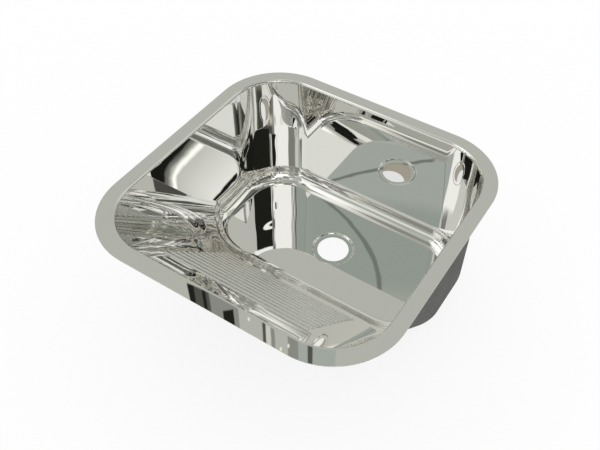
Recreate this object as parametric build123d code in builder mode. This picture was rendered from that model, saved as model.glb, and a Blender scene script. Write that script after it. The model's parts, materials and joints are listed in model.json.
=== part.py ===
from build123d import *
from math import atan2, cos, degrees, radians, sin, tan
import os

# A square laundry sink of pressed stainless steel, dropped into a worktop.
# Its front wall is a washboard that slopes down to a flat floor in the back half.
# The origin is the centre of the worktop's cut-out, on the worktop's top face.
# +Z is up, and -Y is the side where the user stands.
# Lengths are in millimetres and angles in degrees.

# Rim
rim_side = 500.0
rim_corner_radius = 112.0
rim_bend_radius = 5.0
sheet = 0.8

# Bowl, all of it measured on the visible surface
bowl_depth = 228.5
wall_inset = 24.0
wall_corner_radius = 90.0
wall_draft = 0.4
floor_bend_radius = 28.0

# Washboard, between the front rim and the floor
washboard_inset = 26.5
floor_front_y = 2.0
rib_count = 12
rib_length = 257.0
rib_pitch = 17.2
rib_width = 6.6
rib_height = 1.9
first_rib_distance = 63.0

# Outlet in the floor
outlet_y = 102.5
outlet_diameter = 56.7
recess_diameter = 75.0
recess_depth = 2.0

# Seal, coat and pad
seal_width = 8.0
seal_thickness = 2.0
seal_edge_inset = 1.0
coat_thickness = 1.0
coat_top_gap = 10.0
pad_thickness = 3.0
pad_edge_inset = 12.0
pad_corner_radius = 30.0
outlet_margin = 12.0

# Clamps: a welded stud, a claw, a washer and a nut at each
stud_inset = 15.5
stud_spacing = 220.0
stud_diameter = 5.0
stud_length = 45.0
stud_flange_diameter = 6.4
stud_flange_thickness = 0.8
stud_tip_chamfer = 0.6
nut_across_flats = 8.0
nut_thickness = 4.0
nut_edge_chamfer = 0.4
nut_tip_gap = 1.0
washer_diameter = 10.0
washer_thickness = 1.0
claw_thickness = 2.0
claw_width = 8.5
claw_reach = 29.0
claw_heel = 5.5
claw_toe_height = 5.0
claw_corner_radius = 2.0
running_clearance = 0.1
thread_clearance = 0.05
stack_gap = 0.1

TOP_ALIGN = (Align.CENTER, Align.CENTER, Align.MAX)
BOTTOM_ALIGN = (Align.CENTER, Align.CENTER, Align.MIN)

# Heights and places that follow from the sizes above
rim_under_z = seal_thickness
rim_top_z = rim_under_z + sheet
floor_z = rim_top_z - bowl_depth
wall_half = rim_side / 2 - wall_inset
washboard_top_y = washboard_inset - rim_side / 2
slope = degrees(atan2(bowl_depth, floor_front_y - washboard_top_y))
coat_skin = sheet + coat_thickness
outlet_clear_radius = recess_diameter / 2 + sheet + outlet_margin
outlet_cut_height = 2 * (recess_depth + coat_skin)

# Each rib is an arc in cross-section: its centre lies below the washboard's face
rib_radius = (rib_width**2 / 4 + rib_height**2) / (2 * rib_height)
rib_centre_depth = rib_radius - rib_height

# Each clamp: the way out of the sink, and the way its claw points at rest,
# which is towards the middle of its side
clamps = {
    "left_front": (Vector(-1, 0), Vector(0, 1)),
    "left_back": (Vector(-1, 0), Vector(0, -1)),
    "right_front": (Vector(1, 0), Vector(0, 1)),
    "right_back": (Vector(1, 0), Vector(0, -1)),
    "back_left": (Vector(0, 1), Vector(1, 0)),
    "back_right": (Vector(0, 1), Vector(-1, 0)),
}
nut_z = rim_under_z - stud_length + nut_tip_gap
washer_z = nut_z + nut_thickness + stack_gap
claw_z = washer_z + washer_thickness + stack_gap


def bowl_section(depth, skin):
    """Half width, front and back of the bowl at a depth, moved outward by skin."""
    half = wall_half - depth * tan(radians(wall_draft)) + skin / cos(radians(wall_draft))
    front = washboard_top_y + depth / tan(radians(slope)) - skin / sin(radians(slope))
    return half, front, half


def bowl_solid(skin):
    """The space inside the bowl's visible surface, grown outward by skin."""
    with BuildPart() as bowl:
        for depth in (0, bowl_depth + skin):
            half, front, back = bowl_section(depth, skin)
            with BuildSketch(Plane.XY.offset(rim_top_z - depth)):
                with Locations((0, (front + back) / 2)):
                    RectangleRounded(2 * half, back - front, wall_corner_radius + skin)
        loft(ruled=True)
        fillet(bowl.faces().sort_by(Axis.Z)[0].edges(), floor_bend_radius + skin)
    return bowl.part


def pressed_form(skin):
    """The bowl with a rim plate on it, bent into each other, grown outward by skin."""
    plate_z = rim_top_z - skin
    with BuildPart() as form:
        with BuildSketch(Plane.XY.offset(plate_z)):
            RectangleRounded(rim_side, rim_side, rim_corner_radius)
        extrude(amount=sheet)
        add(bowl_solid(skin))
        plate_faces = form.faces().filter_by(Axis.Z)
        underside = plate_faces.filter_by_position(Axis.Z, plate_z - sheet / 2, plate_z + sheet / 2)[0]
        fillet(underside.inner_wires()[0].edges(), rim_bend_radius - skin)
    return form.part


washboard = Plane(
    origin=(0, washboard_top_y, rim_top_z),
    x_dir=(1, 0, 0),
    z_dir=(0, sin(radians(slope)), cos(radians(slope))),
)


def rib_bars(radius):
    """Half-round bars with round ends, one along the axis of each rib."""
    with BuildPart() as bar:
        with BuildSketch():
            SlotCenterToCenter(rib_length - rib_width, 2 * radius)
            split(bisect_by=Plane.XZ, keep=Keep.BOTTOM)
        revolve(axis=Axis.X, revolution_arc=180)
    first = (0, first_rib_distance, -rib_centre_depth)
    with BuildPart(washboard) as bars:
        with Locations(*[Vector(first) + Vector(0, i * rib_pitch) for i in range(rib_count)]):
            add(bar.part)
    return bars.part


def recess_tool(skin):
    """The shallow cone pressed into the floor at the outlet, grown outward by skin."""
    radius = recess_diameter / 2 + skin
    with BuildPart() as tool:
        with Locations((0, outlet_y, floor_z)):
            Cone(radius - recess_depth, radius, recess_depth + skin, align=TOP_ALIGN)
    return tool.part


# Basin: the sheet is what lies between the outer form and the ribbed visible form
with BuildPart() as visible_form:
    add(pressed_form(0))
    add(rib_bars(rib_radius), mode=Mode.SUBTRACT)

with BuildPart() as basin:
    add(pressed_form(sheet))
    add(recess_tool(sheet))
    add(visible_form.part, mode=Mode.SUBTRACT)
    add(rib_bars(rib_radius - sheet), mode=Mode.SUBTRACT)
    add(recess_tool(0), mode=Mode.SUBTRACT)
    with Locations((0, outlet_y, floor_z)):
        Cylinder(outlet_diameter / 2, outlet_cut_height, mode=Mode.SUBTRACT)

basin.part.label = "basin"

# Sound coat: a grey coat on the outside of the bowl, open around the outlet
coat_top_z = rim_under_z - coat_top_gap
with BuildPart() as sound_coat:
    add(bowl_solid(coat_skin))
    add(bowl_solid(sheet), mode=Mode.SUBTRACT)
    split(bisect_by=Plane.XY.offset(coat_top_z), keep=Keep.BOTTOM)
    with Locations((0, outlet_y, floor_z)):
        Cylinder(outlet_clear_radius, outlet_cut_height, mode=Mode.SUBTRACT)
sound_coat.part.label = "sound_coat"

# Bottom pad: on the flat of the floor, inside its bends
floor_half, floor_front, floor_back = bowl_section(bowl_depth, 0)
side_bend = floor_bend_radius * tan(radians(90 - wall_draft) / 2)
front_bend = floor_bend_radius * tan(radians(slope) / 2)
pad_front_y = floor_front + front_bend + pad_edge_inset
pad_back_y = floor_back - side_bend - pad_edge_inset
pad_width = 2 * (floor_half - side_bend - pad_edge_inset)
with BuildPart() as bottom_pad:
    with BuildSketch(Plane.XY.offset(floor_z - coat_skin)):
        with Locations((0, (pad_front_y + pad_back_y) / 2)):
            RectangleRounded(pad_width, pad_back_y - pad_front_y, pad_corner_radius)
        with Locations((0, outlet_y)):
            Circle(outlet_clear_radius, mode=Mode.SUBTRACT)
    extrude(amount=-pad_thickness)
bottom_pad.part.label = "bottom_pad"

# Rim seal: a foam loop under the rim, just inside its edge
seal_side = rim_side - 2 * seal_edge_inset
seal_radius = rim_corner_radius - seal_edge_inset
with BuildPart() as rim_seal:
    with BuildSketch():
        RectangleRounded(seal_side, seal_side, seal_radius)
        RectangleRounded(
            seal_side - 2 * seal_width,
            seal_side - 2 * seal_width,
            seal_radius - seal_width,
            mode=Mode.SUBTRACT,
        )
    extrude(amount=seal_thickness)
rim_seal.part.label = "rim_seal"


def clamp_plane(name, height):
    """A level plane on a clamp's stud: X is the way its claw points at rest."""
    outward, claw_way = clamps[name]
    foot = outward * (rim_side / 2 - stud_inset) - claw_way * stud_spacing / 2
    return Plane(origin=(foot.X, foot.Y, height), x_dir=claw_way, z_dir=(0, 0, 1))


# Clamps: each hangs from its stud, which is welded to the underside of the rim
os.makedirs("parts", exist_ok=True)
for name in clamps:
    with BuildPart(clamp_plane(name, rim_under_z)) as stud:
        Cylinder(stud_flange_diameter / 2, stud_flange_thickness, align=TOP_ALIGN)
        Cylinder(stud_diameter / 2, stud_length, align=TOP_ALIGN)
        chamfer(stud.faces().sort_by(Axis.Z)[0].edges(), stud_tip_chamfer)
    stud.part.label = f"stud_{name}"
    export_step(stud.part, f"parts/stud_{name}.step")

    with BuildPart() as nut:
        with BuildSketch(clamp_plane(name, nut_z)):
            RegularPolygon(nut_across_flats / 2, 6, major_radius=False)
        extrude(amount=nut_thickness)
        chamfer(nut.faces().filter_by(Axis.Z).edges(), nut_edge_chamfer)
        with Locations(clamp_plane(name, nut_z)):
            Cylinder(
                stud_diameter / 2 + thread_clearance,
                nut_thickness,
                align=BOTTOM_ALIGN,
                mode=Mode.SUBTRACT,
            )
    nut.part.label = f"nut_{name}"
    export_step(nut.part, f"parts/nut_{name}.step")

    with BuildPart() as washer:
        with BuildSketch(clamp_plane(name, washer_z)):
            Circle(washer_diameter / 2)
            Circle(stud_diameter / 2 + running_clearance, mode=Mode.SUBTRACT)
        extrude(amount=washer_thickness)
    washer.part.label = f"washer_{name}"
    export_step(washer.part, f"parts/washer_{name}.step")

    level = clamp_plane(name, claw_z)
    with BuildPart() as claw:
        with BuildSketch(level):
            with Locations(((claw_reach - claw_heel) / 2, 0)):
                RectangleRounded(claw_reach + claw_heel, claw_width, claw_corner_radius)
            Circle(stud_diameter / 2 + running_clearance, mode=Mode.SUBTRACT)
        extrude(amount=claw_thickness)
        with BuildSketch(Plane(origin=level.origin, x_dir=level.x_dir, z_dir=-level.y_dir)):
            with Locations((claw_reach - claw_thickness / 2, claw_thickness + claw_toe_height / 2)):
                Rectangle(claw_thickness, claw_toe_height)
        extrude(amount=claw_width / 2 - claw_corner_radius, both=True)
    claw.part.label = f"claw_{name}"
    export_step(claw.part, f"parts/claw_{name}.step")

for piece in (basin, sound_coat, bottom_pad, rim_seal):
    export_step(piece.part, f"parts/{piece.part.label}.step")
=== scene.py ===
import json
import math

import bpy
import numpy as np
from mathutils import Matrix, Vector

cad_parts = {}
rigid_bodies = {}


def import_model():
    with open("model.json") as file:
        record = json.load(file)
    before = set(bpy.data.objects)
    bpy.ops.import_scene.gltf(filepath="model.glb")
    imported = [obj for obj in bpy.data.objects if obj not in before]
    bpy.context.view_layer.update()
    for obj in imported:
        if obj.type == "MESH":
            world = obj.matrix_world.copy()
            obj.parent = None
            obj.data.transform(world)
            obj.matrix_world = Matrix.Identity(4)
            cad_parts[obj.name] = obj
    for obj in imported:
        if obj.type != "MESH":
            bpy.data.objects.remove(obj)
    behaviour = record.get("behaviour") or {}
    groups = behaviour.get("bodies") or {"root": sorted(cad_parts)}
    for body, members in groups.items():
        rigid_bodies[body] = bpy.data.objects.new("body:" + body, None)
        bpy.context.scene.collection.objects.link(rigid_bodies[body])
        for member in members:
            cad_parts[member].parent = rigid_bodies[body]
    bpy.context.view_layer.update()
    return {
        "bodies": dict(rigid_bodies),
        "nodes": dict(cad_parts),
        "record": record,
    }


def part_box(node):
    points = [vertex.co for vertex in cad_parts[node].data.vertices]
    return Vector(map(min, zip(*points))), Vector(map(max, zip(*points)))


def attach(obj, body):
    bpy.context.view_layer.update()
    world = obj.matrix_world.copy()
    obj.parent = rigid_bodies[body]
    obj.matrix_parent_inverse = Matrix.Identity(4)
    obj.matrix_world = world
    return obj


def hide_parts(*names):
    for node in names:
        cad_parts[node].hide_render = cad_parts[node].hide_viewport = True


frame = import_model()

MM = 0.001
UP = np.array([0.0, 0.0, 1.0])
NO_DISTANCE = 1e-9

# Sizes of the basin, on its visible surface
RIM_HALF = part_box("basin")[1].x
RIM_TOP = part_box("basin")[1].z
RIM_CORNER = 112 * MM
RIM_BEND = 5 * MM
SHEET = 0.8 * MM
BOWL_DEPTH = 228.5 * MM
FLOOR = RIM_TOP - BOWL_DEPTH
WALL_HALF = RIM_HALF - 24 * MM
WALL_CORNER = 90 * MM
DRAFT = math.tan(math.radians(0.4))
FLOOR_BEND = 28 * MM
WASHBOARD_TOP_Y = 26.5 * MM - RIM_HALF
FLOOR_FRONT_Y = 2 * MM
SLOPE = math.atan2(BOWL_DEPTH, FLOOR_FRONT_Y - WASHBOARD_TOP_Y)

# The washboard bulges: from its middle to either end its face turns by this much
CROWN = math.radians(2.2)

# The drawn corners aren't quite even: they swell and sink a little on their way down
SWELL = 0.45 * MM
SWELL_WAVES = 1.5

# Ribs of the washboard: each is a bar with round ends, a crown and a soft foot
RIB_COUNT = 12
RIB_HALF_LENGTH = 128.5 * MM
RIB_PITCH = 17.2 * MM
RIB_FIRST = 63 * MM
RIB_LAST = RIB_FIRST + (RIB_COUNT - 1) * RIB_PITCH
RIB_HALF_WIDTH = 4.2 * MM
RIB_HEIGHT = 1.9 * MM
RIB_CROWN = 3.4 * MM
RIB_SIDE = 2 * math.atan(RIB_HEIGHT / RIB_HALF_WIDTH)
RIB_FOOT = RIB_HALF_WIDTH / math.sin(RIB_SIDE) - RIB_CROWN
RIB_MARGIN = 0.4 * MM

# The field of the ribs is satin: how much rougher, how far it goes beyond the ribs, and over what it fades
SATIN = 0.22
SATIN_BEYOND = 5 * MM
SATIN_FADE = 4 * MM
SATIN_END_FADE = 5 * MM

# The outlet and its pressed seat
OUTLET = np.array([0.0, 102.5 * MM])
OUTLET_RADIUS = 28.35 * MM
RECESS_TOP = 39 * MM
RECESS_FOOT = 35 * MM
RECESS_DEPTH = 2 * MM
HOLE_LIP = 1.5 * MM

# How finely the basin's mesh is divided
CORNER_COLUMNS = 32
SIDE_COLUMNS = 40
BACK_COLUMNS = 50
FRONT_COLUMNS = 64
BESIDE_RIBS_COLUMNS = 4
RIB_END_COLUMNS = 8
ABOVE_RIBS_ROWS = 7
BELOW_RIBS_ROWS = 8
EDGE_STEPS = 7
RIM_BEND_STEPS = 10
FLOOR_BEND_STEPS = 17
SEAT_STEPS = 13
RIM_ROWS = (0, 0.04, 0.35, 0.65, 0.96)
FLOOR_ROWS = (0.03, 0.3, 0.6, 0.9)


def arc_steps(start, end, count):
    """Angles from start to end, both included."""
    return np.linspace(start, end, count)


def wall_columns():
    """The columns of the basin's mesh, anticlockwise from above, starting at the front left.

    A column has a base point on the wall at the rim's height, the way it leans for each metre of depth,
    the angle that it faces outward, and its point on the rim's outer edge.
    """
    straight = WALL_HALF - WALL_CORNER
    rim_straight = RIM_HALF - RIM_CORNER
    front = WASHBOARD_TOP_Y
    lean_front = 1 / math.tan(SLOPE)
    base, lean, facing, edge = [], [], [], []

    def column(x, y, lean_x, lean_y, angle, edge_x, edge_y):
        base.append((x, y))
        lean.append((lean_x, lean_y))
        facing.append(angle)
        edge.append((edge_x, edge_y))

    def corner(x_side, y_side, start, lean_y):
        centre_x = x_side * straight
        centre_y = WALL_HALF - WALL_CORNER if y_side > 0 else front + WALL_CORNER
        for angle in arc_steps(start, start + math.pi / 2, CORNER_COLUMNS):
            c, s = math.cos(angle), math.sin(angle)
            column(
                centre_x + WALL_CORNER * c,
                centre_y + WALL_CORNER * s,
                -x_side * DRAFT,
                lean_y,
                angle,
                x_side * rim_straight + RIM_CORNER * c,
                y_side * rim_straight + RIM_CORNER * s,
            )

    def side(x_side):
        low, high = front + WALL_CORNER, straight
        for t in np.linspace(0, 1, SIDE_COLUMNS + 2)[1:-1]:
            t = t if x_side > 0 else 1 - t
            column(
                x_side * WALL_HALF,
                low + t * (high - low),
                -x_side * DRAFT,
                lean_front + t * (-DRAFT - lean_front),
                0.0 if x_side > 0 else math.pi,
                x_side * RIM_HALF,
                rim_straight * (2 * t - 1),
            )

    rib_end = RIB_HALF_LENGTH - RIB_HALF_WIDTH
    beside = np.linspace(straight, RIB_HALF_LENGTH + RIB_MARGIN, BESIDE_RIBS_COLUMNS)[1:]
    ends = rib_end + RIB_HALF_WIDTH * np.sin(arc_steps(math.pi / 2, 0, RIB_END_COLUMNS))
    middle = np.linspace(rib_end, -rib_end, FRONT_COLUMNS)[1:-1]
    places = np.concatenate([beside, ends, middle, -ends[::-1], -beside[::-1]])
    for x in -places:
        share = max(0.0, (abs(x) - RIB_HALF_LENGTH) / (straight - RIB_HALF_LENGTH))
        column(x, front, -math.copysign(share * DRAFT, x), lean_front, -math.pi / 2,
               x * rim_straight / straight, -RIM_HALF)
    corner(1, -1, -math.pi / 2, lean_front)
    side(1)
    corner(1, 1, 0.0, -DRAFT)
    for x in np.linspace(straight, -straight, BACK_COLUMNS)[1:-1]:
        column(x, WALL_HALF, -DRAFT * x / straight, -DRAFT, math.pi / 2,
               x * rim_straight / straight, RIM_HALF)
    corner(-1, 1, math.pi / 2, -DRAFT)
    side(-1)
    corner(-1, -1, math.pi, lean_front)
    return np.array(base), np.array(lean), np.array(facing), np.array(edge)


def rib_rise(distance):
    """Height of a rib's surface and its slope at a distance from the rib's axis."""
    crown_end = RIB_CROWN * math.sin(RIB_SIDE)
    d = np.clip(distance, 0, RIB_HALF_WIDTH)
    on_crown = d <= crown_end
    crown = np.sqrt(RIB_CROWN**2 - np.minimum(d, crown_end) ** 2)
    foot_d = RIB_HALF_WIDTH - np.maximum(d, crown_end)
    foot = np.sqrt(RIB_FOOT**2 - foot_d**2)
    height = np.where(on_crown, RIB_HEIGHT - RIB_CROWN + crown, RIB_FOOT - foot)
    slope = np.where(on_crown, -d / crown, -foot_d / foot)
    return height, slope


def wall_levels(first, last):
    """Shares of the way down the wall, with the rows closer together over the ribs.

    The wall's first and last distance are counted down the washboard from the rim's height.
    """
    crown = RIB_CROWN * np.sin(RIB_SIDE * np.array([1 / 3, 2 / 3, 1]))
    foot = RIB_HALF_WIDTH - RIB_FOOT * np.sin(RIB_SIDE * np.array([2 / 3, 1 / 3, 0]))
    half = np.concatenate([crown, foot])
    over = np.concatenate([-half[::-1], [0.0], half])
    rows = [np.linspace(first, RIB_FIRST - RIB_HALF_WIDTH, ABOVE_RIBS_ROWS)[:-1]]
    for i in range(RIB_COUNT):
        axis = RIB_FIRST + i * RIB_PITCH
        rows.append(axis + over)
        if i < RIB_COUNT - 1:
            rows.append([axis + RIB_PITCH / 2])
    rows.append(np.linspace(RIB_LAST + RIB_HALF_WIDTH, last, BELOW_RIBS_ROWS)[1:])
    return (np.concatenate(rows) - first) / (last - first)


def unit(v):
    """The same direction or directions with length 1."""
    return v / np.linalg.norm(v, axis=-1, keepdims=True)


def basin_surface():
    """Points and normals of the whole sheet, as closed rings of rows by columns."""
    base, lean, facing, edge = wall_columns()
    count = len(base)
    outward = np.stack([np.cos(facing), np.sin(facing), np.zeros(count)], 1)
    lean_out = (lean * outward[:, :2]).sum(1)
    normal = unit(np.column_stack([-outward[:, 0], -outward[:, 1], -lean_out]))
    turn = np.arccos(normal[:, 2])
    toward = unit(normal - normal[:, 2:] * UP)
    crown = CROWN * np.maximum(0, -outward[:, 1]) ** 2

    def facing_at(angle):
        """The normal of each column where the sheet has turned by the angle from facing up."""
        return np.cos(angle)[:, None] * UP + np.sin(angle)[:, None] * toward

    ruling = np.column_stack([lean, -np.ones(count)])
    top = np.column_stack([base, np.full(count, RIM_TOP)])
    turn_first, turn_last = turn - crown, turn + crown
    depth_first = RIM_BEND * (1 - np.cos(turn_first))
    depth_last = BOWL_DEPTH - FLOOR_BEND * (1 - np.cos(turn_last))
    edge3 = np.column_stack([edge, np.full(count, RIM_TOP)])
    points, normals = [], []

    def row(p, n):
        points.append(p)
        normals.append(np.broadcast_to(n, p.shape).copy())

    # The rim's edge is rounded over half the sheet's thickness, from below to above
    half_sheet = SHEET / 2
    edge_centre = edge3 - half_sheet * outward - half_sheet * UP
    for a in arc_steps(-math.pi / 2, math.pi / 2, EDGE_STEPS)[1:-1]:
        n = math.cos(a) * outward + math.sin(a) * UP
        row(edge_centre + half_sheet * n, n)
    top_start = len(points)

    # Rim flat
    wall_first = top + depth_first[:, None] * ruling
    bend_centre = wall_first - RIM_BEND * facing_at(turn_first)
    flat_first = edge_centre + half_sheet * UP
    flat_last = bend_centre + RIM_BEND * UP
    for t in RIM_ROWS:
        row(flat_first + t * (flat_last - flat_first), UP)

    # Bend from the rim into the wall
    for t in np.linspace(0, 1, RIM_BEND_STEPS)[:-1]:
        n = facing_at(t * turn_first)
        row(bend_centre + RIM_BEND * n, n)

    # Wall, with the ribs on its front
    front = np.isclose(facing, -math.pi / 2)
    at_front = np.flatnonzero(front)[0]
    sine = math.sin(SLOPE)
    level = wall_levels(depth_first[at_front] / sine, depth_last[at_front] / sine)
    down = np.array([0.0, math.cos(SLOPE), -sine])
    across = np.array([1.0, 0.0, 0.0])
    axes = RIB_FIRST + RIB_PITCH * np.arange(RIB_COUNT)
    wall_last = top + depth_last[:, None] * ruling
    chord = np.linalg.norm(wall_last - wall_first, axis=1)
    along = np.column_stack([-outward[:, 1], outward[:, 0], np.zeros(count)])
    in_corner = np.where(outward[:, 1] < 0, 0, np.sin(2 * facing) ** 2)
    in_corner_slope = np.where(outward[:, 1] < 0, 0, 2 * np.sin(4 * facing)) / WALL_CORNER
    for t in level:
        depth = depth_first + t * (depth_last - depth_first)
        bulge = chord * crown * t * (1 - t)
        p = top + depth[:, None] * ruling + bulge[:, None] * normal
        n = facing_at(turn + crown * (2 * t - 1))
        way = depth / sine
        axis = axes[np.argmin(np.abs(way[at_front] - axes))]
        off_down = way - axis
        past_end = np.maximum(0, np.abs(p[:, 0]) - (RIB_HALF_LENGTH - RIB_HALF_WIDTH))
        off_across = np.sign(p[:, 0]) * past_end
        distance = np.hypot(off_down, off_across)
        on_rib = front & (distance < RIB_HALF_WIDTH)
        height, tilt = rib_rise(distance)
        away = off_down[:, None] * down + off_across[:, None] * across
        away /= np.maximum(distance, NO_DISTANCE)[:, None]
        p = np.where(on_rib[:, None], p + height[:, None] * n, p)
        n = np.where(on_rib[:, None], unit(n - tilt[:, None] * away), n)
        angle = 2 * math.pi * SWELL_WAVES * t + facing
        wave = SWELL * math.sin(math.pi * t) ** 2 * np.sin(angle)
        wave_slope = SWELL * (
            math.pi * math.sin(2 * math.pi * t) * np.sin(angle)
            + 2 * math.pi * SWELL_WAVES * math.sin(math.pi * t) ** 2 * np.cos(angle)
        ) / chord
        n = unit(n + (in_corner * wave_slope)[:, None] * UP - (in_corner_slope * wave)[:, None] * along)
        row(p + (in_corner * wave)[:, None] * normal, n)

    # Bend from the wall into the floor
    centre = wall_last + FLOOR_BEND * facing_at(turn_last)
    for t in np.linspace(0, 1, FLOOR_BEND_STEPS)[1:]:
        n = facing_at((1 - t) * turn_last)
        row(centre - FLOOR_BEND * n, n)
    floor_edge = points[-1]

    # Floor, and the pressed seat of the outlet
    outlet = np.array([*OUTLET, FLOOR])
    polar = unit(floor_edge - outlet)
    seat_rim = outlet + RECESS_TOP * polar
    for t in FLOOR_ROWS:
        row(floor_edge + t * (seat_rim - floor_edge), UP)
    width = RECESS_TOP - RECESS_FOOT
    for t in np.linspace(0, 1, SEAT_STEPS):
        radius = RECESS_TOP - t * width
        drop = RECESS_DEPTH * (1 - math.cos(math.pi * t)) / 2
        fall = RECESS_DEPTH * math.pi * math.sin(math.pi * t) / (2 * width)
        row(outlet + radius * polar - drop * UP, unit(UP - fall * polar))
    hole_edge = OUTLET_RADIUS + half_sheet
    seat_floor = outlet - RECESS_DEPTH * UP
    row(seat_floor + (hole_edge + HOLE_LIP) * polar, UP)
    row(seat_floor + hole_edge * polar, UP)
    top_end = len(points)

    # The hole's edge is rounded too, and then the same rows come back on the underside
    edge_centre = seat_floor + hole_edge * polar - half_sheet * UP
    for a in arc_steps(math.pi / 2, 3 * math.pi / 2, EDGE_STEPS)[1:-1]:
        n = math.cos(a) * polar + math.sin(a) * UP
        row(edge_centre + half_sheet * n, n)
    for i in reversed(range(top_start, top_end)):
        row(points[i] - SHEET * normals[i], -normals[i])
    return np.array(points), np.array(normals)


def ring_mesh(name, points, normals=None):
    """A mesh object from rings of points, closed both ways round, with the normals if they are given."""
    rows, columns = points.shape[:2]
    index = np.arange(rows * columns).reshape(rows, columns)
    after = np.roll(index, -1, axis=1)
    below = np.roll(index, -1, axis=0)
    faces = np.stack([index, after, np.roll(after, -1, axis=0), below], axis=-1).reshape(-1, 4)
    mesh = bpy.data.meshes.new(name)
    mesh.vertices.add(rows * columns)
    mesh.vertices.foreach_set("co", points.reshape(-1))
    mesh.loops.add(faces.size)
    mesh.loops.foreach_set("vertex_index", faces.reshape(-1))
    mesh.polygons.add(len(faces))
    mesh.polygons.foreach_set("loop_start", np.arange(0, faces.size, 4))
    mesh.polygons.foreach_set("use_smooth", np.ones(len(faces), dtype=bool))
    mesh.update(calc_edges=True)
    mesh.validate()
    if normals is not None:
        mesh.normals_split_custom_set_from_vertices(normals.reshape(-1, 3))
    obj = bpy.data.objects.new(name, mesh)
    bpy.context.collection.objects.link(obj)
    return obj


class Shading:
    """A node tree being built, with short ways to add what the materials and the studio use."""

    def __init__(self, owner, output):
        owner.use_nodes = True
        self.tree = owner.node_tree
        self.tree.nodes.clear()
        self.output = self.add(output)

    def add(self, kind, **settings):
        node = self.tree.nodes.new(kind)
        for name, value in settings.items():
            setattr(node, name, value)
        return node

    def put(self, socket, value):
        """Sets a socket, or links it where the value is another socket."""
        if isinstance(value, bpy.types.NodeSocket):
            self.tree.links.new(value, socket)
        else:
            socket.default_value = value

    def math(self, operation, *values):
        node = self.add("ShaderNodeMath", operation=operation)
        for socket, value in zip(node.inputs, values):
            self.put(socket, value)
        return node.outputs[0]

    def ramp(self, value, low, high, to_low=0.0, to_high=1.0, smooth=True):
        """The value's way from low to high, as a number from to_low to to_high."""
        kind = "SMOOTHSTEP" if smooth else "LINEAR"
        node = self.add("ShaderNodeMapRange", interpolation_type=kind)
        for socket, number in zip(node.inputs, (value, low, high, to_low, to_high)):
            self.put(socket, number)
        return node.outputs[0]

    def split(self, vector):
        """The x, y and z of a vector."""
        node = self.add("ShaderNodeSeparateXYZ")
        self.put(node.inputs[0], vector)
        return node.outputs

    def distance(self, x, y, centre):
        """How far the point (x, y) is from the centre."""
        off_x = self.math("SUBTRACT", x, float(centre[0]))
        off_y = self.math("SUBTRACT", y, float(centre[1]))
        square_y = self.math("MULTIPLY", off_y, off_y)
        return self.math("SQRT", self.math("MULTIPLY_ADD", off_x, off_x, square_y))

    def mix(self, share, first, second):
        """The first colour where the share is 0, and the second where it is 1."""
        node = self.add("ShaderNodeMix", data_type="RGBA")
        self.put(node.inputs["Factor"], share)
        self.put(node.inputs["A"], first)
        self.put(node.inputs["B"], second)
        return node.outputs["Result"]

    def noise(self, place, size, detail=3.0, roughness=0.5):
        """Noise from 0 to 1 with features of about that size in metres."""
        node = self.add("ShaderNodeTexNoise")
        self.put(node.inputs["Vector"], place)
        self.put(node.inputs["Scale"], 1 / size)
        self.put(node.inputs["Detail"], detail)
        self.put(node.inputs["Roughness"], roughness)
        return node.outputs["Fac"]

    def place(self):
        """The point in the row frame: a node's place is in its vertices."""
        return self.add("ShaderNodeTexCoord").outputs["Object"]

    def bump(self, height, depth):
        """A normal for relief of that depth in metres where the height runs from 0 to 1."""
        node = self.add("ShaderNodeBump")
        self.put(node.inputs["Height"], height)
        self.put(node.inputs["Distance"], depth)
        return node.outputs["Normal"]

    def surface(self, **sockets):
        """A Principled shader with these sockets, joined to the output."""
        shader = self.add("ShaderNodeBsdfPrincipled")
        for name, value in sockets.items():
            self.put(shader.inputs[name.replace("_", " ").title()], value)
        self.tree.links.new(shader.outputs[0], self.output.inputs["Surface"])


def material(name):
    """A new material, and what builds its nodes."""
    made = bpy.data.materials.new(name)
    return made, Shading(made, "ShaderNodeOutputMaterial")


# Most values of a noise lie between these
MOST_NOISE = (0.3, 0.7)


def polished_steel():
    """Mirror-bright pressed stainless steel, with the faint waviness of a pressing and a satin washboard."""
    made, s = material("polished_steel")
    place = s.place()
    x, y, z = s.split(place)
    way = s.math("DIVIDE", s.math("SUBTRACT", RIM_TOP, z), math.sin(SLOPE))
    field_top = RIB_FIRST - SATIN_BEYOND
    field_end = RIB_LAST + SATIN_BEYOND
    across = s.ramp(s.math("ABSOLUTE", x), RIB_HALF_LENGTH - SATIN_END_FADE, RIB_HALF_LENGTH, 1.0, 0.0)
    below_top = s.ramp(way, field_top - SATIN_FADE, field_top)
    above_end = s.ramp(way, field_end, field_end + SATIN_FADE, 1.0, 0.0)
    front = s.math("LESS_THAN", y, FLOOR_FRONT_Y)
    satin = s.math("MULTIPLY", s.math("MULTIPLY", across, front), s.math("MULTIPLY", below_top, above_end))
    haze = s.ramp(s.noise(place, 60 * MM), *MOST_NOISE, 0.002, 0.008)
    waves = s.noise(place, 45 * MM, detail=1.0)
    s.surface(
        base_color=(0.8, 0.8, 0.785, 1),
        metallic=1.0,
        roughness=s.math("ADD", haze, s.math("MULTIPLY", satin, SATIN)),
        normal=s.bump(waves, 0.02 * MM),
    )
    return made


def grey_coat():
    """Sprayed sound-deadening coat: matt and dark grey, with a fine pebbled skin."""
    made, s = material("grey_coat")
    place = s.place()
    pebbles = s.noise(place, 1.6 * MM, detail=2.0)
    cloud = s.noise(place, 40 * MM)
    s.surface(
        base_color=s.mix(s.ramp(cloud, *MOST_NOISE), (0.098, 0.098, 0.094, 1), (0.112, 0.112, 0.107, 1)),
        roughness=s.ramp(pebbles, *MOST_NOISE, 0.75, 0.9),
        normal=s.bump(pebbles, 0.12 * MM),
    )
    return made


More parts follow.
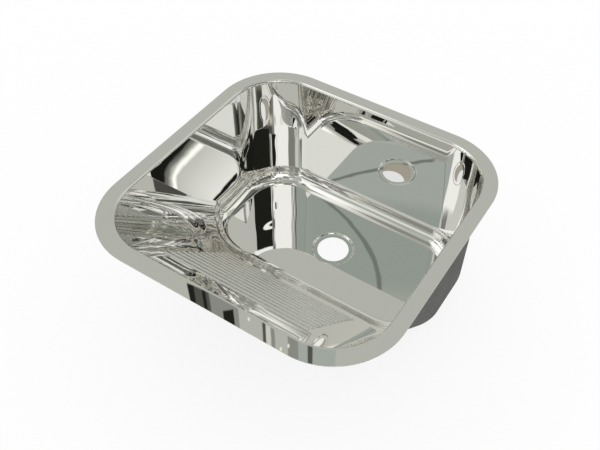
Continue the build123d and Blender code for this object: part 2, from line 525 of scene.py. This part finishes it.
def black_rubber():
    """Moulded rubber, matt, with a light grey bloom."""
    made, s = material("black_rubber")
    place = s.place()
    bloom = s.noise(place, 25 * MM)
    grain = s.noise(place, 0.7 * MM)
    s.surface(
        base_color=s.mix(s.ramp(bloom, 0.4, 0.8), (0.018, 0.018, 0.018, 1), (0.03, 0.03, 0.029, 1)),
        roughness=s.ramp(bloom, *MOST_NOISE, 0.6, 0.78),
        normal=s.bump(grain, 0.03 * MM),
    )
    return made


def seal_foam():
    """Closed-cell foam strip: charcoal, with small open cells on its cut face."""
    made, s = material("seal_foam")
    place = s.place()
    cells = s.add("ShaderNodeTexVoronoi")
    s.put(cells.inputs["Vector"], place)
    s.put(cells.inputs["Scale"], 1 / (0.9 * MM))
    cell = cells.outputs["Distance"]
    s.surface(
        base_color=s.mix(s.ramp(cell, 0.1, 0.6), (0.03, 0.03, 0.03, 1), (0.062, 0.062, 0.062, 1)),
        roughness=0.95,
        normal=s.bump(cell, 0.15 * MM),
    )
    return made


def zinc_steel():
    """Bright zinc plating: cloudy, with fine scratches."""
    made, s = material("zinc_steel")
    place = s.place()
    cloud = s.noise(place, 4 * MM)
    scratches = s.noise(place, 0.25 * MM, detail=5.0, roughness=0.7)
    s.surface(
        base_color=s.mix(s.ramp(cloud, *MOST_NOISE), (0.6, 0.61, 0.63, 1), (0.7, 0.7, 0.69, 1)),
        metallic=1.0,
        roughness=s.ramp(scratches, 0.35, 0.65, 0.22, 0.42),
        normal=s.bump(scratches, 0.004 * MM),
    )
    return made


FINISHES = (polished_steel, grey_coat, black_rubber, seal_foam, zinc_steel)
MATERIALS = {make.__name__: make() for make in FINISHES}


def dress(obj, name):
    """Gives the object that material alone."""
    obj.data.materials.clear()
    obj.data.materials.append(MATERIALS[name])


basin = ring_mesh("pressed_basin", *basin_surface())
dress(basin, "polished_steel")
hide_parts("basin")
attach(basin, "root")

# M5 studs. A stud's mesh closes to a dot at both ends, and each turn of its thread has some rows
STUD_RADIUS = 2.5 * MM
STUD_FLANGE = 0.8 * MM
STUD_FLANGE_ROUND = 0.2 * MM
STUD_TIP = 0.8 * MM
STUD_DOT = 0.01 * MM
STUD_COLUMNS = 24
THREAD_PITCH = 0.8 * MM
THREAD_DEPTH = 0.42 * MM
THREAD_FLANK = 1.15
THREAD_START = 2 * THREAD_PITCH
THREAD_ROWS = 8

# Hexagon nuts
NUT_FLAT = 4 * MM
NUT_FACE = 3.75 * MM
NUT_BORE = 2.55 * MM
NUT_SINK = 0.3 * MM
NUT_CHAMFER = math.radians(30)
NUT_LEAST_CHAMFER = 0.06 * MM
NUT_COLUMNS = 96

# Seal and pad
SEAL_WIDTH = 8 * MM
SEAL_ROUND = 0.5 * MM
PAD_CORNER = 30 * MM
PAD_HOLE = 50.3 * MM
PAD_ROUND = 0.8 * MM
SQUARE = ((1, 1), (-1, 1), (-1, -1), (1, -1))
SQUARE_STEPS = 25
LOOP_EDGE_STEPS = 4


def sharpened(obj, angle):
    """Shades the mesh smooth, apart from edges sharper than the angle in degrees."""
    obj.data.set_sharp_from_angle(angle=math.radians(angle))
    return obj


def lathed(centre, angles, rows):
    """Rings of points about an upright axis. Each row gives radius and height at every angle."""
    points = []
    for radius, height in rows:
        x = centre.x + radius * np.cos(angles)
        y = centre.y + radius * np.sin(angles)
        points.append(np.stack([x, y, np.broadcast_to(height, angles.shape)], 1))
    return np.array(points)


def stud_mesh(name):
    """A welded stud: a flange under the rim, and a rolled thread down to a chamfered tip."""
    low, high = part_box(name)
    centre = (low + high) / 2
    angles = np.linspace(0, 2 * math.pi, STUD_COLUMNS, endpoint=False)
    flange = (high.x - low.x) / 2
    thread_top = high.z - STUD_FLANGE
    turns = (thread_top - low.z) / THREAD_PITCH
    rows = [
        (STUD_DOT, high.z),
        (flange - STUD_FLANGE_ROUND, high.z),
        (flange, high.z - STUD_FLANGE_ROUND),
        (flange, thread_top + STUD_FLANGE_ROUND),
        (flange - STUD_FLANGE_ROUND, thread_top),
    ]
    for z in np.linspace(thread_top, low.z, int(turns * THREAD_ROWS) + 1):
        phase = (z / THREAD_PITCH - angles / (2 * math.pi)) % 1
        depth = THREAD_DEPTH * np.clip(THREAD_FLANK * (1 - 2 * np.abs(phase - 0.5)), 0, 1)
        start = min(1.0, (thread_top - z) / THREAD_START)
        tip = STUD_TIP * max(0.0, 1 - (z - low.z) / STUD_TIP)
        rows.append((np.minimum(STUD_RADIUS - start * depth, STUD_RADIUS - tip), z))
    rows.append((STUD_DOT, low.z))
    return lathed(centre, angles, rows)


def nut_mesh(name):
    """A hexagon nut with its corners turned down at both faces, and a countersunk bore."""
    low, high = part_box(name)
    centre = (low + high) / 2
    half = (high.z - low.z) / 2
    step = math.pi / 3
    turned = 0.0 if high.x - low.x < high.y - low.y else step / 2
    angles = np.linspace(0, 2 * math.pi, NUT_COLUMNS, endpoint=False)
    reach = NUT_FLAT / np.cos((angles - turned + step / 2) % step - step / 2)
    shoulder = half - np.maximum(NUT_LEAST_CHAMFER, (reach - NUT_FACE) * math.tan(NUT_CHAMFER))
    rings = [(NUT_BORE, half - NUT_SINK), (NUT_BORE + NUT_SINK, half), (NUT_FACE, half), (reach, shoulder)]
    rows = []
    for side in (1, -1):
        rows += [(radius, centre.z + side * height) for radius, height in rings[::side]]
    return lathed(centre, angles, rows)


def rounded_square(half_x, half_y, corner):
    """Points of a rectangle with round corners about the origin, and the way out at each."""
    centres = [np.array([x * (half_x - corner), y * (half_y - corner)]) for x, y in SQUARE]
    points, out = [], []
    for i, centre in enumerate(centres):
        for angle in arc_steps(i * math.pi / 2, (i + 1) * math.pi / 2, SQUARE_STEPS):
            way = np.array([math.cos(angle), math.sin(angle)])
            points.append(centre + corner * way)
            out.append(way)
        for share in np.linspace(0, 1, SQUARE_STEPS)[1:-1]:
            points.append(centre + share * (centres[(i + 1) % 4] - centre) + corner * way)
            out.append(way)
    return np.array(points), np.array(out)


def flat_ring(outer, outer_out, inner, inner_out, low, high, edge):
    """Rings of a flat loop between two outlines, with its four long edges rounded."""
    rows = []

    def corner(outline, out, side, z_side, first, last):
        z = high - edge if z_side > 0 else low + edge
        for angle in arc_steps(first, last, LOOP_EDGE_STEPS):
            place = outline - side * edge * (1 - math.cos(angle)) * out
            rows.append(np.column_stack([place, np.full(len(place), z + edge * math.sin(angle))]))

    quarter = math.pi / 2
    corner(outer, outer_out, 1, -1, -quarter, 0)
    corner(outer, outer_out, 1, 1, 0, quarter)
    corner(inner, inner_out, -1, 1, quarter, 0)
    corner(inner, inner_out, -1, -1, 0, -quarter)
    return np.array(rows)


def seal_mesh(name):
    """The foam loop under the rim."""
    low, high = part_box(name)
    corner = RIM_CORNER - (RIM_HALF - high.x)
    outer, out = rounded_square(high.x, high.y, corner)
    inner, _ = rounded_square(high.x - SEAL_WIDTH, high.y - SEAL_WIDTH, corner - SEAL_WIDTH)
    return flat_ring(outer, out, inner, out, low.z, high.z, SEAL_ROUND)


def pad_mesh(name):
    """The pad under the floor, with its opening about the outlet."""
    low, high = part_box(name)
    middle = np.array([0.0, (low.y + high.y) / 2])
    outer, out = rounded_square(high.x, (high.y - low.y) / 2, PAD_CORNER)
    outer = outer + middle
    way = unit(outer - OUTLET)
    return flat_ring(outer, out, OUTLET + PAD_HOLE * way, way, low.z, high.z, PAD_ROUND)


# What makes the mesh of each such node, and the angle in degrees from which its edges are sharp
MESHES = {
    "stud": (stud_mesh, 50),
    "nut": (nut_mesh, 25),
    "rim_seal": (seal_mesh, 50),
    "bottom_pad": (pad_mesh, 50),
}


def add_piece(node, finish):
    """The detailed piece for a node that has one, or else the node itself in its finish."""
    make, angle = MESHES.get(node, MESHES.get(node.split("_")[0], (None, None)))
    if make is None:
        dress(frame["nodes"][node], finish)
        return
    piece = sharpened(ring_mesh(f"{node}_detailed", make(node)), angle)
    dress(piece, finish)
    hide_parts(node)
    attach(piece, node if node in frame["bodies"] else "root")


for part in frame["record"]["subparts"]:
    if part["node"] != "basin":
        add_piece(part["node"], part["material_slot"])

# Camera, from the rounded square of the rim in the photograph
PHOTO_WIDTH = 600
PHOTO_HEIGHT = 450
CAMERA_AZIMUTH = 0.56211
CAMERA_ELEVATION = 0.83124
CAMERA_ROLL = 0.01387
CAMERA_DISTANCE = 2.17628 * 2 * RIM_HALF
CAMERA_AIM = Vector((0.09423 * 2 * RIM_HALF, -0.09544 * 2 * RIM_HALF, RIM_TOP))
CAMERA_LENS = 44.953
SENSOR_WIDTH = 36
CLIP_START = 0.01
CENTRE_PIXEL = Vector((311.187, 225.153))


def add_camera():
    """The camera that took the photograph, with its centre beside the picture's middle."""
    data = bpy.data.cameras.new("camera")
    camera = bpy.data.objects.new("camera", data)
    bpy.context.collection.objects.link(camera)
    back = Vector((
        math.sin(CAMERA_AZIMUTH) * math.cos(CAMERA_ELEVATION),
        -math.cos(CAMERA_AZIMUTH) * math.cos(CAMERA_ELEVATION),
        math.sin(CAMERA_ELEVATION),
    ))
    right = (-back).cross(Vector((0, 0, 1))).normalized()
    up = right.cross(-back)
    turned_right = right * math.cos(CAMERA_ROLL) + up * math.sin(CAMERA_ROLL)
    turned_up = -right * math.sin(CAMERA_ROLL) + up * math.cos(CAMERA_ROLL)
    turn = Matrix((turned_right, turned_up, back)).transposed()
    camera.matrix_world = Matrix.Translation(CAMERA_AIM + back * CAMERA_DISTANCE) @ turn.to_4x4()
    data.sensor_width = SENSOR_WIDTH
    data.lens = CAMERA_LENS
    data.shift_x = (PHOTO_WIDTH / 2 - CENTRE_PIXEL.x) / PHOTO_WIDTH
    data.shift_y = (CENTRE_PIXEL.y - PHOTO_HEIGHT / 2) / PHOTO_WIDTH
    data.clip_start = CLIP_START
    bpy.context.scene.camera = camera


add_camera()

# Colours of the studio that the steel mirrors
CEILING = (0.54, 0.55, 0.50)
GREENISH = (0.432, 0.48, 0.433)
SAGE = (0.53, 0.575, 0.53)
GLARE = (1.9, 1.9, 1.86)
WHITE = (1.3, 1.3, 1.26)
MILK = (1.0, 1.0, 0.96)
BRIGHT = (1.45, 1.45, 1.4)
PALE = (0.85, 0.84, 0.79)
LIGHT = (0.7, 0.7, 0.65)
CREAM = (1.05, 1.0, 0.87)
GREY = (0.3, 0.31, 0.28)
DARK = (0.1, 0.1, 0.085)
WIRE = (0.24, 0.27, 0.24)
BLACK = (0.018, 0.018, 0.015)

# The studio is made of bands one above the other. Each band has the elevation where it starts, how soft
# that edge is, and the colours met going round it clockwise from +Y, each with the azimuth where it
# starts. Angles are in degrees.
EDGE = 0.3
BANDS = (
    (-90, 1, (
        (0, CEILING), (28, LIGHT), (66, GREY), (84, CREAM), (128, CEILING), (137, WHITE),
        (147, LIGHT), (160, PALE), (168, CEILING), (186, PALE), (211, WHITE), (245, CREAM),
        (286, GREY), (296, CEILING),
    )),
    (36.5, 1, (
        (0, LIGHT), (60, PALE), (66, CEILING), (79, DARK), (128, GREY), (133, WHITE), (164, GREY),
        (178, LIGHT), (188, SAGE), (196, PALE), (209, WHITE), (251, DARK), (264, CEILING),
    )),
    (40, 0.5, (
        (0, LIGHT), (64, CEILING), (80, PALE), (126, BLACK), (135, WHITE), (164, GREY), (180, PALE),
        (188, SAGE), (214, WHITE), (243, PALE), (264, CEILING),
    )),
    (44.8, 0.7, (
        (0, LIGHT), (71, PALE), (119, WHITE), (182.5, GREENISH), (214, PALE), (219, GREY),
        (230, PALE), (264, CEILING),
    )),
    (53, 1, (
        (0, CEILING), (38, DARK), (50, CEILING), (62, DARK), (80, GREY), (104, CEILING),
        (116, PALE), (124, WHITE), (138, GLARE), (149, PALE), (153, GREY), (182, CEILING),
        (211, PALE), (222, WHITE), (300, CEILING),
    )),
    (62, 1, (
        (0, GREY), (28, CEILING), (38, GREY), (47, WHITE), (68, CEILING), (88, PALE), (108, GLARE),
        (126, WHITE), (136, LIGHT), (146, CEILING), (160, PALE), (173, WHITE), (190, CEILING),
        (218, PALE), (228, WHITE), (330, CEILING),
    )),
    (66.5, 1, (
        (0, CEILING), (36, GREY), (47, WHITE), (68, CEILING), (88, PALE), (108, GLARE), (128, PALE),
        (140, CEILING), (182, WHITE), (189, CEILING), (236, PALE), (246, WHITE), (262, CREAM),
        (325, CEILING),
    )),
    (71, 1.5, (
        (0, CEILING), (40, CREAM), (58, CEILING), (118, WHITE), (130, CEILING), (232, GREY),
        (292, CEILING), (308, PALE), (320, CEILING),
    )),
)

# What stands in front of the bands, as patches with straight edges. Each has its first and last azimuth,
# the elevation of its lower edge and of its upper edge at both, and its colour or the colours across it.
PATCH_EDGE = 0.08
RIM_SIDE = ((312.8, BLACK), (313.5, DARK), (314.4, BLACK), (314.8, DARK), (315.2, GREY), (318.5, CEILING),
            (321.5, DARK), (321.95, LIGHT), (322.6, GREY), (323.1, CEILING))
RIM_SIDE_RIGHT = ((324.3, CEILING), (324.8, GREY), (326.2, GREENISH), (327.6, DARK), (328.3, GREENISH),
                  (331.5, CEILING))
STRIPES = ((170.2, DARK), (171.5, WHITE), (173, BLACK), (175, WHITE), (177, BLACK), (178.5, PALE),
           (180, BLACK))
PATCHES = (
    (71, 119, (45.2, 45.2), (52, 52), BLACK),
    (78, 121, (38, 38), (43.5, 43.5), BLACK),
    (62, 118, (50.2, 50.2), (50.7, 50.7), WHITE),
    (170.2, 182.5, (44.8, 44.8), (53, 53), STRIPES),
    (135.6, 139.4, (45.55, 43.2), (45.95, 43.6), BLACK),
    (46.1, 49.2, (43.5, 42.4), (44.2, 43.45), DARK),
    (153, 161, (56, 62.5), (61, 66.3), BLACK),
    (161, 181, (62.5, 67), (66.3, 70), BLACK),
    (312.8, 324.3, (51.2, 56), (55.2, 60), RIM_SIDE),
    (324.3, 345, (56, 56), (60, 60), RIM_SIDE_RIGHT),
    (316.6, 317.9, (53.7, 53.7), (55.2, 55.2), BLACK),
    (319.7, 319.95, (54.45, 54.45), (54.7, 54.7), CREAM),
    (323.7, 323.95, (56.85, 56.85), (57.1, 57.1), CREAM),
    (324.75, 325, (56.65, 56.65), (56.9, 56.9), CREAM),
)

# Where upright streaks stand: first and last azimuth, lowest and highest elevation. The streaks are
# noise, which turns dark between two of its values and is this wide and long.
STREAKED = ((80, 194, -20, 35), (210, 296, -20, 35), (84, 126, 35, 59), (48, 146, 59, 91))
STREAK_EDGE = 1
STREAK_VALUES = (0.49, 0.53)
STREAK_WIDTH = 4.0
STREAK_LENGTH = 16.0
STREAK_SHARE = 0.95

# The screen that the left wall mirrors. It has an upright side and a slanting one that meet in a rounded
# corner, and colours that change with the depth inside that outline, from its frame to its bright middle.
SCREEN = ((-3, BLACK), (-0.75, GREY), (-0.4, PALE), (-0.15, GLARE), (0.25, MILK))
SCREEN_DEPTHS = (-3, 7)
SCREEN_EDGE = 0.12
SCREEN_AZIMUTHS = (128.5, 139.5)
SCREEN_ELEVATIONS = (40.2, 45.8)
SCREEN_BORDER = 0.1
SCREEN_CORNER_AZIMUTH = 132.2
SCREEN_CORNER_ELEVATION = 43.0
SCREEN_SLANT = 0.58
SCREEN_SQUEEZE = 0.86
SCREEN_ROUNDING = 1.2
SCREEN_BRIGHTENS = (0.4, 3.6)

# Two thin dark lines: one hangs down and swings aside, and the other climbs slowly
HANGING_TOP = 53.5
HANGING_END = 46
HANGING_AZIMUTH = 204.0
HANGING_SWING = 8.0
HANGING_HALF_WIDTH = 0.3
HANGING_EDGE = 0.15
CLIMBING_AZIMUTHS = (199.5, 219)
CLIMBING_SLOPE = 0.235
CLIMBING_BASE = -5.8
CLIMBING_HALF_WIDTH = 0.12
CLIMBING_EDGE = 0.08


def inside(s, value, low, high, edge=EDGE):
    """1 between low and high, and 0 outside them."""
    after_low = s.ramp(value, low - edge, low + edge)
    return s.math("MULTIPLY", after_low, s.ramp(value, high - edge, high + edge, 1.0, 0.0))


def going_round(s, azimuth, stops, first=0.0, last=360.0, edge=EDGE):
    """The colour met at an azimuth between first and last."""
    ramp = s.add("ShaderNodeValToRGB")
    s.put(ramp.inputs[0], s.ramp(azimuth, first, last, smooth=False))
    marks = [(first, stops[0][1])]
    for (_, before), (start, after) in zip(stops, stops[1:]):
        marks += [(start - edge, before), (start + edge, after)]
    for place, _ in marks[1:-1]:
        ramp.color_ramp.elements.new((place - first) / (last - first))
    for element, (place, colour) in zip(ramp.color_ramp.elements, marks):
        element.position = (place - first) / (last - first)
        element.color = (*colour, 1)
    return ramp.outputs["Color"]


def slanted(s, azimuth, elevation, first, last, low, high, edge=PATCH_EDGE):
    """1 inside a patch whose lower and upper edges run straight from its first azimuth to its last."""
    way = s.ramp(azimuth, first, last, smooth=False)
    after_low = s.math("SUBTRACT", elevation, s.math("MULTIPLY_ADD", way, low[1] - low[0], low[0]))
    before_high = s.math("SUBTRACT", s.math("MULTIPLY_ADD", way, high[1] - high[0], high[0]), elevation)
    inner = s.math("MULTIPLY", s.ramp(after_low, -edge, edge), s.ramp(before_high, -edge, edge))
    return s.math("MULTIPLY", inner, inside(s, azimuth, first, last, edge))


def add_screen(s, azimuth, elevation, colour):
    """The colour with the screen laid over it: white, with a bright edge and a dark frame."""
    beside = s.math("SUBTRACT", azimuth, SCREEN_CORNER_AZIMUTH)
    slant = s.math("MULTIPLY_ADD", beside, SCREEN_SLANT, -SCREEN_CORNER_ELEVATION)
    above = s.math("MULTIPLY", s.math("ADD", elevation, slant), SCREEN_SQUEEZE)
    depth = s.math("SMOOTH_MIN", beside, above, SCREEN_ROUNDING)
    across = inside(s, azimuth, *SCREEN_AZIMUTHS, SCREEN_BORDER)
    here = s.math("MULTIPLY", across, inside(s, elevation, *SCREEN_ELEVATIONS, SCREEN_BORDER))
    seen = going_round(s, depth, SCREEN, *SCREEN_DEPTHS, SCREEN_EDGE)
    seen = s.mix(s.ramp(depth, *SCREEN_BRIGHTENS, smooth=False), seen, (*BRIGHT, 1))
    return s.mix(here, colour, seen)


def wires(s, azimuth, elevation):
    """Where the two thin dark lines are, one after the other."""
    drop = s.ramp(elevation, HANGING_TOP, HANGING_END, smooth=False)
    place = s.math("MULTIPLY_ADD", s.math("MULTIPLY", drop, drop), HANGING_SWING, HANGING_AZIMUTH)
    off = s.math("SUBTRACT", azimuth, place)
    hanging = inside(s, off, -HANGING_HALF_WIDTH, HANGING_HALF_WIDTH, HANGING_EDGE)
    hanging = s.math("MULTIPLY", hanging, inside(s, elevation, HANGING_END, HANGING_TOP))
    off = s.math("SUBTRACT", elevation, s.math("MULTIPLY_ADD", azimuth, CLIMBING_SLOPE, CLIMBING_BASE))
    climbing = inside(s, off, -CLIMBING_HALF_WIDTH, CLIMBING_HALF_WIDTH, CLIMBING_EDGE)
    climbing = s.math("MULTIPLY", climbing, inside(s, azimuth, *CLIMBING_AZIMUTHS))
    return hanging, climbing


def add_studio():
    """Mirrors see the studio's bands, the camera sees white, and matt surfaces get plain soft light."""
    world = bpy.data.worlds.new("studio")
    world.cycles.sampling_method = "NONE"
    bpy.context.scene.world = world
    s = Shading(world, "ShaderNodeOutputWorld")
    x, y, z = s.split(s.add("ShaderNodeTexCoord").outputs["Generated"])
    turn = s.math("ARCTAN2", s.math("MULTIPLY", x, -1.0), s.math("MULTIPLY", y, -1.0))
    azimuth = s.math("ADD", s.math("DEGREES", turn), 180.0)
    elevation = s.math("DEGREES", s.math("ARCSINE", z))
    colour = going_round(s, azimuth, BANDS[0][2])
    for start, soft, stops in BANDS[1:]:
        above = s.ramp(elevation, start - soft, start + soft)
        colour = s.mix(above, colour, going_round(s, azimuth, stops))

    # Things that stand about in the room
    place = s.add("ShaderNodeCombineXYZ")
    s.put(place.inputs[0], s.math("DIVIDE", azimuth, STREAK_WIDTH))
    s.put(place.inputs[1], s.math("DIVIDE", elevation, STREAK_LENGTH))
    streak = s.ramp(s.noise(place.outputs[0], 1.0, detail=4.0, roughness=0.7), *STREAK_VALUES)
    for first, last, lowest, highest in STREAKED:
        here = inside(s, azimuth, first, last, STREAK_EDGE)
        here = s.math("MULTIPLY", here, inside(s, elevation, lowest, highest, STREAK_EDGE))
        share = s.math("MULTIPLY", s.math("MULTIPLY", here, streak), STREAK_SHARE)
        colour = s.mix(share, colour, (*DARK, 1))

    colour = add_screen(s, azimuth, elevation, colour)
    for first, last, low, high, filling in PATCHES:
        part = slanted(s, azimuth, elevation, first, last, low, high)
        if isinstance(filling[0], tuple):
            filling = going_round(s, azimuth, filling, first, last, PATCH_EDGE)
        else:
            filling = (*filling, 1)
        colour = s.mix(part, colour, filling)
    for line in wires(s, azimuth, elevation):
        colour = s.mix(line, colour, (*WIRE, 1))
    rays = s.add("ShaderNodeLightPath")
    colour = s.mix(rays.outputs["Is Glossy Ray"], (1, 1, 1, 1), colour)
    background = s.add("ShaderNodeBackground")
    s.put(background.inputs["Color"], colour)
    s.put(s.output.inputs["Surface"], background.outputs[0])


add_studio()

STAGE_HALF = 6.0
STAGE_COLOUR = (0.98, 0.98, 0.98)
STAGE_GLOW = 0.85

# What the mirrored outlet shows under it, as a painted reflection on the floor that only mirror rays see: a
# pale spot, mostly behind it, and brown around that
PALE_SPOT_OFFSET = np.array([-1 * MM, 27 * MM])
PALE_SPOT_RADIUS = 29 * MM
PALE_SPOT_EDGE = 1 * MM
PAINTED_REFLECTION_BROWN = (0.4, 0.36, 0.28)
PAINTED_REFLECTION_FADE = (40 * MM, 45 * MM)


def add_floor():
    """A white floor under the pad that keeps a soft shadow of the sink, and a painted reflection under the
    outlet: brown that only mirror rays see.
    """
    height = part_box("bottom_pad")[0].z
    mesh = bpy.data.meshes.new("studio_floor")
    corners = [(x * STAGE_HALF, y * STAGE_HALF, height) for x, y in ((-1, -1), (1, -1), (1, 1), (-1, 1))]
    mesh.from_pydata(corners, [], [(0, 1, 2, 3)])
    floor = bpy.data.objects.new("studio_floor", mesh)
    bpy.context.collection.objects.link(floor)
    made, s = material("studio_floor")
    mesh.materials.append(made)
    lit = s.add("ShaderNodeBsdfDiffuse")
    lit.inputs["Color"].default_value = (*STAGE_COLOUR, 1)
    glow = s.add("ShaderNodeEmission")
    rays = s.add("ShaderNodeLightPath")
    x, y = s.split(s.place())[:2]
    from_pale = s.distance(x, y, OUTLET + PALE_SPOT_OFFSET)
    beside_pale = s.ramp(from_pale, PALE_SPOT_RADIUS - PALE_SPOT_EDGE, PALE_SPOT_RADIUS + PALE_SPOT_EDGE)
    # Painted reflection: the floor turns brown for mirror rays alone, outside the pale spot and near the
    # outlet
    painted_reflection_near_outlet = s.ramp(s.distance(x, y, OUTLET), *PAINTED_REFLECTION_FADE, 1.0, 0.0)
    painted_reflection = s.math("MULTIPLY", s.math("MULTIPLY", beside_pale, painted_reflection_near_outlet), rays.outputs["Is Glossy Ray"])
    s.put(glow.inputs["Color"], s.mix(painted_reflection, (1, 1, 1, 1), (*PAINTED_REFLECTION_BROWN, 1)))
    blend = s.add("ShaderNodeMixShader")
    seen = s.math("MAXIMUM", rays.outputs["Is Camera Ray"], rays.outputs["Is Glossy Ray"])
    s.put(blend.inputs[0], s.math("MULTIPLY", seen, STAGE_GLOW))
    s.put(blend.inputs[1], lit.outputs[0])
    s.put(blend.inputs[2], glow.outputs[0])
    s.put(s.output.inputs["Surface"], blend.outputs[0])


add_floor()

# In the corners a ray meets the steel many times before it leaves the bowl
BOUNCES = 32
bpy.context.scene.cycles.max_bounces = BOUNCES
bpy.context.scene.cycles.glossy_bounces = BOUNCES
bpy.context.scene.view_settings.view_transform = "Standard"
